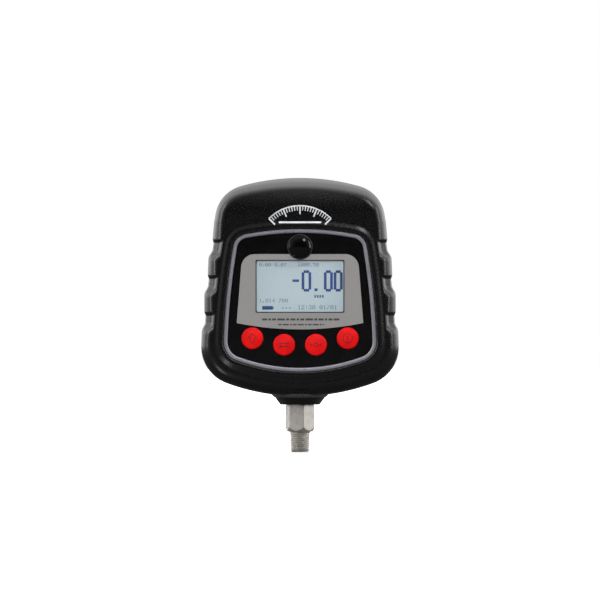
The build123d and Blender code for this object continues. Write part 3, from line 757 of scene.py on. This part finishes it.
def thread_strip():
    """Vertices and faces of the thread. Its rows climb with the helix, so each edge of it stays clean."""
    per_pitch = 12
    rise = THREAD_PITCH / per_pitch
    rows = math.ceil((THREAD_LENGTH + 2 * THREAD_PITCH) / rise)
    vertices = []
    for row in range(rows + 1):
        phase = (row % per_pitch) / per_pitch
        for step in range(PORT_SEGMENTS):
            turn = step / PORT_SEGMENTS
            z = max(0.0, min(THREAD_LENGTH, -THREAD_PITCH + row * rise + turn * THREAD_PITCH))
            radius = thread_radius(z, phase)
            angle = 2 * math.pi * turn
            vertices.append((radius * math.cos(angle), radius * math.sin(angle), z))
    faces = []
    for row in range(rows):
        for step in range(PORT_SEGMENTS):
            a = row * PORT_SEGMENTS + step
            d = a + PORT_SEGMENTS
            if step + 1 < PORT_SEGMENTS:
                b = a + 1
            else:
                b = min(row + per_pitch, rows) * PORT_SEGMENTS
            c = b + PORT_SEGMENTS
            if c < len(vertices):
                faces.append((a, b, c, d))
            else:
                faces.append((a, b, d))
    return vertices, faces


def hex_radius(angle, z):
    """Radius of the hexagon at an angle, with its lower corners turned off."""
    sector = math.pi / 3
    from_flat = (angle - HEX_TURN - math.pi / 6) % sector - sector / 2
    apothem = HEX_ACROSS_FLATS / 2
    flat = apothem / math.cos(from_flat)
    flat = min(flat, apothem * 1.142)
    lower = apothem - 0.45 + (z - THREAD_LENGTH) * 0.62
    upper = apothem + 0.75 + (HEX_TOP - z) * 1.4
    return min(flat, lower, upper)


def port_rows():
    """The port from the top of its thread up to the shank, then down through its inlet to the tip."""
    angles = [2 * math.pi * step / PORT_SEGMENTS for step in range(PORT_SEGMENTS)]
    rows = []

    def turned(radius, z):
        rows.append([(radius * math.cos(a), radius * math.sin(a), z) for a in angles])

    turned(crest_radius(THREAD_LENGTH), THREAD_LENGTH)
    hex_steps = 74
    hex_low = THREAD_LENGTH + 0.02
    for step in range(hex_steps + 1):
        z = hex_low + (HEX_TOP - hex_low) * step / hex_steps
        row = []
        for a in angles:
            radius = hex_radius(a, z)
            row.append((radius * math.cos(a), radius * math.sin(a), z))
        rows.append(row)
    turned(SHANK_RADIUS, HEX_TOP)
    turned(SHANK_RADIUS, PORT_HIGH.z)
    turned(2 * CAPILLARY_RADIUS, PORT_HIGH.z)
    turned(CAPILLARY_RADIUS, PORT_HIGH.z - 3)
    turned(CAPILLARY_RADIUS, INLET_DEPTH + 1)
    turned(INLET_RADIUS, INLET_DEPTH)
    turned(INLET_RADIUS, 0.35)
    turned(INLET_RADIUS + 0.35, 0.0)
    turned(THREAD_TIP_RADIUS, 0.0)
    return rows


def make_port_body():
    rows = port_rows()
    vertices = [point for row in rows for point in row]
    faces = []
    for i in range(len(rows) - 1):
        for j in range(PORT_SEGMENTS):
            k = (j + 1) % PORT_SEGMENTS
            low = i * PORT_SEGMENTS
            high = low + PORT_SEGMENTS
            faces.append((low + j, low + k, high + k, high + j))
    thread_vertices, thread_faces = thread_strip()
    start = len(vertices)
    vertices += thread_vertices
    faces += [tuple(start + i for i in face) for face in thread_faces]
    port = mesh_object("port_body", vertices, faces)
    weld(port)
    return shade(port, 24.0)


def make_port():
    port = make_port_body()
    finish_piece(port, turned_steel, "housing", "stainless", "pressure_fitting")
    low, high = COLLAR_LOW.z, COLLAR_HIGH.z
    profile = [
        (9.6, high),
        (9.6, low + 0.3),
        (10.0, low),
        (12.7, low),
        (13.2, low + 0.15),
        (14.0, low + 1.4),
        (15.1, low + 2.8),
        (15.9, low + 3.9),
        (COLLAR_HIGH.x, low + 4.6),
        (COLLAR_HIGH.x, high),
    ]
    collar = lathe("collar_body", profile, 128)
    finish_piece(collar, collar_plastic, "housing", "collar_black", "port_collar")


make_port()


# Face marks --------------------------------------------------------------------------------------

# Five-by-seven dot digits and signs, as rows from the top
DOTS = {
    "0": ("01110", "10001", "10011", "10101", "11001", "10001", "01110"),
    "1": ("00100", "01100", "00100", "00100", "00100", "00100", "01110"),
    "2": ("01110", "10001", "00001", "00110", "01000", "10000", "11111"),
    "3": ("01110", "10001", "00001", "00110", "00001", "10001", "01110"),
    "4": ("00010", "00110", "01010", "10010", "11111", "00010", "00010"),
    "5": ("11111", "10000", "11110", "00001", "00001", "10001", "01110"),
    "7": ("11111", "00001", "00010", "00100", "01000", "01000", "01000"),
    ":": ("00000", "00100", "00100", "00000", "00100", "00100", "00000"),
    ".": ("00000", "00000", "00000", "00000", "00000", "01100", "01100"),
    "/": ("00001", "00010", "00010", "00100", "01000", "01000", "10000"),
    " ": ("00000",) * 7,
}


def dot_text(text, left, top, dot):
    """Outlines of a line of dot digits. Runs of dots in a row become one bar."""
    outlines = []
    for index, sign in enumerate(text):
        for row, pattern in enumerate(DOTS[sign]):
            column = 0
            while column < 5:
                if pattern[column] == "0":
                    column += 1
                    continue
                start = column
                while column < 5 and pattern[column] == "1":
                    column += 1
                x = left + (index * 6 + start) * dot
                z = top - (row + 1) * dot
                outlines.append(bar(x, z, x + (column - start) * dot * 0.97, z + dot * 0.93))
    return outlines


def tall_zero(left, low, width, height, line):
    """A tall figure 0 with cut corners, as four bars."""
    right = left + width
    high = low + height
    cut = line * 0.75
    return [
        bar(left, low + cut, left + line, high - cut),
        bar(right - line, low + cut, right, high - cut),
        bar(left + cut, high - line, right - cut, high),
        bar(left + cut, low, right - cut, low + line),
    ]


def make_display_marks():
    face_y = GLASS_LOW.y - 0.05
    reading = [bar(-5.0, 112.6, -0.6, 114.3)]
    for left, width in ((1.1, 6.3), (15.8, 5.9), (22.3, 5.9)):
        reading += tall_zero(left, 106.3, width, 14.0, 1.75)
    reading.append(bar(9.6, 106.6, 11.6, 108.4))
    big = flat_ink("display_reading", reading, face_y)
    finish_piece(big, display_ink, "housing", "lcd_glass")
    small = dot_text("0.00 0.07", -27.0, 125.2, 0.34)
    small += dot_text("1000.50", -1.5, 125.2, 0.34)
    small += dot_text("1.014 700", -27.0, 101.6, 0.36)
    small += dot_text("12:30 01/01", -1.5, 97.3, 0.4)
    small += [bar(9.4 + 1.7 * i, 102.2, 10.6 + 1.7 * i, 104.0) for i in range(4)]
    lines = flat_ink("display_small_marks", small, face_y)
    finish_piece(lines, display_faint_ink, "housing", "lcd_glass")
    battery = [bar(-25.0, 94.3, -18.0, 96.7), bar(-18.0, 95.0, -17.4, 96.0)]
    battery += [bar(-12.0 + 2.3 * i, 95.2, -10.8 + 2.3 * i, 95.7) for i in range(3)]
    icon = flat_ink("display_battery_mark", battery, face_y)
    finish_piece(icon, display_ink, "housing", "lcd_glass")


def dashes(left, right, low, high, widths, gap):
    """A row of plain dashes of repeating widths, which stands in for a line of print."""
    outlines = []
    x = left
    index = 0
    while x < right:
        width = min(widths[index % len(widths)], right - x)
        outlines.append(bar(x, low, x + width, high))
        x += width + gap
        index += 1
    return outlines


def make_panel_marks():
    face_y = PANEL_LOW.y - 0.04
    outlines = dashes(-25.0, 26.0, 87.2, 88.5, (3.4, 1.6, 2.6, 5.0, 2.0), 0.8)
    outlines += dashes(-14.5, 16.0, 84.0, 84.9, (2.4, 4.0, 1.4), 0.7)
    marks = flat_ink("panel_marks", outlines, face_y)
    finish_piece(marks, panel_ink, "housing", "panel_silver")


def make_dial_mark():
    """A plain printed gauge scale with a level line under it, over the face."""
    centre = (0.0, 134.0)
    outer = 29.4
    half_angle = 45.0
    ticks = 25
    outlines = ring_quads(centre, outer - 0.8, outer, 90.0 - half_angle, 90.0 + half_angle, 60)
    for tick in range(ticks):
        angle = math.radians(90.0 + half_angle - 2 * half_angle * tick / (ticks - 1))
        long_tick = tick % 6 == 0
        inner = outer - (6.0 if long_tick else 3.6)
        toward = (math.cos(angle), math.sin(angle))
        outlines.append(stroke(
            centre[0] + inner * toward[0],
            centre[1] + inner * toward[1],
            centre[0] + (outer - 0.4) * toward[0],
            centre[1] + (outer - 0.4) * toward[1],
            1.0 if long_tick else 0.6,
        ))
    outlines += [bar(2.0 * i - 14.0, 151.4, 2.0 * i - 12.0, 152.6) for i in range(14)]
    marks = flat_ink("boot_dial_mark", outlines, -0.08, 0.12)
    for vertex in marks.data.vertices:
        vertex.co.y += front_surface(vertex.co.x / MM, vertex.co.z / MM) * MM
    finish_piece(marks, mark_ink, "housing", "trim_silver")


make_display_marks()
make_panel_marks()
make_dial_mark()


# Keys --------------------------------------------------------------------------------------------

def arrow_up():
    """An outlined arrow, as strokes of one width."""
    corners = [(0.0, 3.1), (3.0, 0.2), (1.35, 0.2), (1.35, -2.9), (-1.35, -2.9), (-1.35, 0.2), (-3.0, 0.2)]
    return [stroke(*a, *b, 0.5) for a, b in zip(corners, corners[1:] + corners[:1])]


def swap_arrows():
    """Two level arrows that point opposite ways: change of units."""
    outlines = [bar(-3.2, 0.75, 1.9, 1.35), bar(-1.9, -1.35, 3.2, -0.75)]
    outlines.append([(1.7, 0.05), (3.6, 1.05), (1.7, 2.05)])
    outlines.append([(-1.7, -2.05), (-1.7, -0.05), (-3.6, -1.05)])
    return outlines


def zero_mark():
    """A figure 0 between two inward marks: set to zero."""
    outlines = ring_quads((0.0, 0.0), 1.1, 1.65, steps=28)
    outlines.append([(-2.1, 0.0), (-3.6, 0.95), (-3.6, -0.95)])
    outlines.append([(2.1, 0.0), (3.6, -0.95), (3.6, 0.95)])
    return outlines


def power_mark():
    outlines = ring_quads((0.0, 0.0), 2.9, 3.4, steps=44)
    outlines.append(bar(-0.3, -1.7, 0.3, 1.7))
    return outlines


KEY_MARKS = {"key_up": arrow_up, "key_units": swap_arrows, "key_zero": zero_mark, "key_power": power_mark}


def make_key(body, mark):
    """A softly domed red cap with a rounded rim, and its printed mark."""
    low, high = span(body + "_cap")
    x = (low.x + high.x) / 2
    z = (low.z + high.z) / 2
    flange = (high.x - low.x) / 2
    radius = flange - 0.9
    dome = 45.0

    def front(r):
        return low.y + dome - math.sqrt(dome * dome - r * r)

    profile = [(0.001, high.y), (flange, high.y), (flange, high.y - 0.9), (radius, high.y - 0.9)]
    edge = 0.7
    for step in range(8):
        angle = math.pi / 2 * step / 7
        r = radius - edge + edge * math.cos(angle)
        profile.append((r, front(r) + edge * (1 - math.sin(angle))))
    for step in range(1, 11):
        r = (radius - edge) * (1 - step / 10) + 0.001
        profile.append((r, front(r)))
    cap = lathe(body + "_face", profile, 72, (x, z), 40.0, "Y")
    finish_piece(cap, key_red, body, "key_red", body + "_cap")
    outlines = [[(x + px, z + pz) for px, pz in outline] for outline in mark()]
    ink = flat_ink(body + "_mark", outlines, 0.0, 0.12)
    for vertex in ink.data.vertices:
        r = math.hypot(vertex.co.x / MM - x, vertex.co.z / MM - z)
        vertex.co.y += (front(r) - 0.08) * MM
    finish_piece(ink, key_ink, body, "key_red")


for key_body, key_mark in KEY_MARKS.items():
    make_key(key_body, key_mark)


# CAD nodes whose shape is right --------------------------------------------------------------------

NODE_FINISHES = {
    "front_case": case_plastic,
    "rear_case": case_plastic,
    "case_gasket": seal_rubber,
    "case_screws": screw_steel,
    "front_overlay": overlay_gloss,
    "display_panel": panel_silver,
    "display_window": window_clear,
    "sensor_lens": lens_gloss,
    "sensor_lens_ring": lens_bezel,
    "keypad_mat": mat_silicone,
    "tact_switches": switch_plastic,
    "lcd_frame": tin_plate,
    "lcd_glass": display_face_painted_glow,
    "lcd_backlight": backlight_plastic,
    "lcd_connector": mat_silicone,
    "main_board": board_mask,
    "board_screws": screw_steel,
    "board_components": chip_plastic,
    "buzzer": chip_plastic,
    "clock_cell_holder": chip_plastic,
    "clock_cell": tin_plate,
    "fitting_seal": seal_rubber,
    "fitting_washer": turned_steel,
    "fitting_nut": turned_steel,
    "sensor_capsule": turned_steel,
    "sensor_cap": chip_plastic,
    "sensor_ribbon": film_amber,
    "battery_tray": case_plastic,
    "battery_cells": cell_sleeve,
    "battery_springs": tin_plate,
    "battery_contacts": tin_plate,
    "battery_door": case_plastic,
    "door_gasket": seal_rubber,
    "door_inserts": brass,
    "door_screw_left": screw_steel,
    "door_screw_right": screw_steel,
}
for node_name, node_finish in NODE_FINISHES.items():
    dress(node_name, node_finish)
for key_body in KEY_MARKS:
    dress(key_body + "_plunger", switch_plastic)


# Stage: pale floor, soft light and camera ----------------------------------------------------------

def make_floor():
    """Pale floor: white to the eye, but dim in reflections so that the underside stays dark."""
    half = 6.0
    floor = mesh_object("studio_floor", [(-1, -1, 0), (1, -1, 0), (1, 1, 0), (-1, 1, 0)], [(0, 1, 2, 3)])
    floor.scale = (half / MM, half / MM, 1.0)
    floor.location = (0.0, 0.0, cad_low.z - 0.1 * MM)
    pale = Finish("studio_floor", (0.36, 0.36, 0.36), 0.9, emission=(1.0, 1.0, 1.0, 1.0))
    pale.vary_colour(pale.noise(400.0, 2.0), (0.37, 0.37, 0.37))
    nodes = pale.nodes
    links = pale.links
    away = nodes.new("ShaderNodeVectorMath")
    away.operation = "LENGTH"
    links.new(nodes.new("ShaderNodeNewGeometry").outputs["Position"], away.inputs[0])
    glow = pale.ranged(away.outputs["Value"], 0.45, 1.0, 0.15, 0.9)
    links.new(glow, pale.shader.inputs["Emission Strength"])
    dim = nodes.new("ShaderNodeBsdfDiffuse")
    dim.inputs["Color"].default_value = (0.07, 0.07, 0.07, 1.0)
    mix = nodes.new("ShaderNodeMixShader")
    links.new(nodes.new("ShaderNodeLightPath").outputs["Is Camera Ray"], mix.inputs["Fac"])
    links.new(dim.outputs["BSDF"], mix.inputs[1])
    links.new(pale.shader.outputs["BSDF"], mix.inputs[2])
    links.new(mix.outputs["Shader"], nodes["Material Output"].inputs["Surface"])
    floor.data.materials.append(pale.material)


def area_light(name, location, target, size, power):
    data = bpy.data.lights.new(name, "AREA")
    data.shape = "RECTANGLE"
    data.size, data.size_y = size
    data.energy = power
    light = bpy.data.objects.new(name, data)
    bpy.context.scene.collection.objects.link(light)
    light.location = location
    light.visible_camera = False
    aim = Vector(target) - Vector(location)
    light.rotation_euler = aim.to_track_quat("-Z", "Y").to_euler()
    return light


def make_lights():
    """Small softboxes for crisp highlights on the steel and on the lip round the face."""
    fill = area_light("front_fill", (0.0, -1.6, 0.5), (0.0, 0.0, 0.09), (0.6, 0.6), 9.5)
    fill.visible_glossy = False
    area_light("left_strip", (-0.9, -0.5, 0.5), (0.0, 0.0, 0.08), (0.12, 0.9), 3.0)
    area_light("right_strip", (0.9, -0.6, 0.4), (0.0, 0.0, 0.08), (0.12, 0.7), 2.0)
    lip_corner = (-0.042, -0.022, 0.058)
    glint = area_light("lower_left_glint", (-0.0915, -0.106, 0.0085), lip_corner, (0.02, 0.02), 0.008)
    glint.visible_diffuse = False
    area_light("upper_box", (0.45, -0.9, 0.9), (0.0, 0.0, 0.1), (0.25, 0.25), 2.0)


def make_world():
    """White to the eye. As a light it is a pale tent, bright at the sides and top, dimmer straight behind."""
    world = bpy.data.worlds.new("studio")
    bpy.context.scene.world = world
    world.use_nodes = True
    nodes = world.node_tree.nodes
    links = world.node_tree.links
    nodes.clear()
    place = nodes.new("ShaderNodeTexCoord")
    apart = nodes.new("ShaderNodeSeparateXYZ")
    links.new(place.outputs["Generated"], apart.inputs["Vector"])
    backward = nodes.new("ShaderNodeValToRGB")
    backward.color_ramp.interpolation = "B_SPLINE"
    stops = (
        (0.0, 0.0),
        (0.07, 0.0),
        (0.18, 0.05),
        (0.35, 0.24),
        (0.54, 0.86),
        (0.78, 1.0),
        (0.9, 0.6),
        (1.0, 0.08),
    )
    elements = backward.color_ramp.elements
    while len(elements) < len(stops):
        elements.new(0.5)
    for element, (position, value) in zip(elements, stops):
        element.position = position
        element.color = (value, value, value, 1.0)
    half = nodes.new("ShaderNodeMapRange")
    half.inputs["From Min"].default_value = -1.0
    half.inputs["From Max"].default_value = 1.0
    links.new(apart.outputs["Y"], half.inputs["Value"])
    links.new(half.outputs["Result"], backward.inputs["Fac"])
    strength = nodes.new("ShaderNodeMapRange")
    strength.inputs["From Min"].default_value = -0.35
    strength.inputs["From Max"].default_value = 0.15
    strength.inputs["To Min"].default_value = 0.1
    strength.inputs["To Max"].default_value = 4.8
    links.new(apart.outputs["Z"], strength.inputs["Value"])
    high_back = nodes.new("ShaderNodeMath")
    high_back.operation = "MULTIPLY"
    links.new(apart.outputs["Y"], high_back.inputs[0])
    links.new(apart.outputs["Z"], high_back.inputs[1])
    dimming = nodes.new("ShaderNodeMapRange")
    dimming.inputs["From Min"].default_value = 0.04
    dimming.inputs["From Max"].default_value = 0.3
    dimming.inputs["To Min"].default_value = 1.0
    dimming.inputs["To Max"].default_value = 0.6
    links.new(high_back.outputs["Value"], dimming.inputs["Value"])
    level = nodes.new("ShaderNodeMath")
    level.operation = "MULTIPLY"
    links.new(strength.outputs["Result"], level.inputs[0])
    links.new(dimming.outputs["Result"], level.inputs[1])
    fill = nodes.new("ShaderNodeBackground")
    links.new(backward.outputs["Color"], fill.inputs["Color"])
    links.new(level.outputs["Value"], fill.inputs["Strength"])
    seen = nodes.new("ShaderNodeBackground")
    seen.inputs["Color"].default_value = (1.0, 1.0, 1.0, 1.0)
    seen.inputs["Strength"].default_value = 1.0
    mix = nodes.new("ShaderNodeMixShader")
    links.new(nodes.new("ShaderNodeLightPath").outputs["Is Camera Ray"], mix.inputs["Fac"])
    links.new(fill.outputs["Background"], mix.inputs[1])
    links.new(seen.outputs["Background"], mix.inputs[2])
    output = nodes.new("ShaderNodeOutputWorld")
    links.new(mix.outputs["Shader"], output.inputs["Surface"])


def make_camera():
    """Straight at the face, from far enough away for a long lens."""
    distance = 5.0
    frame_width = 0.396
    data = bpy.data.cameras.new("camera")
    data.sensor_width = 36.0
    data.lens = data.sensor_width * distance / frame_width
    camera = bpy.data.objects.new("camera", data)
    bpy.context.scene.collection.objects.link(camera)
    camera.location = (0.0, cad_low.y - distance, 0.1007)
    camera.rotation_euler = (math.pi / 2, 0.0, 0.0)
    bpy.context.scene.camera = camera


make_floor()
make_lights()
make_world()
make_camera()
bpy.context.scene.view_settings.view_transform = "Standard"
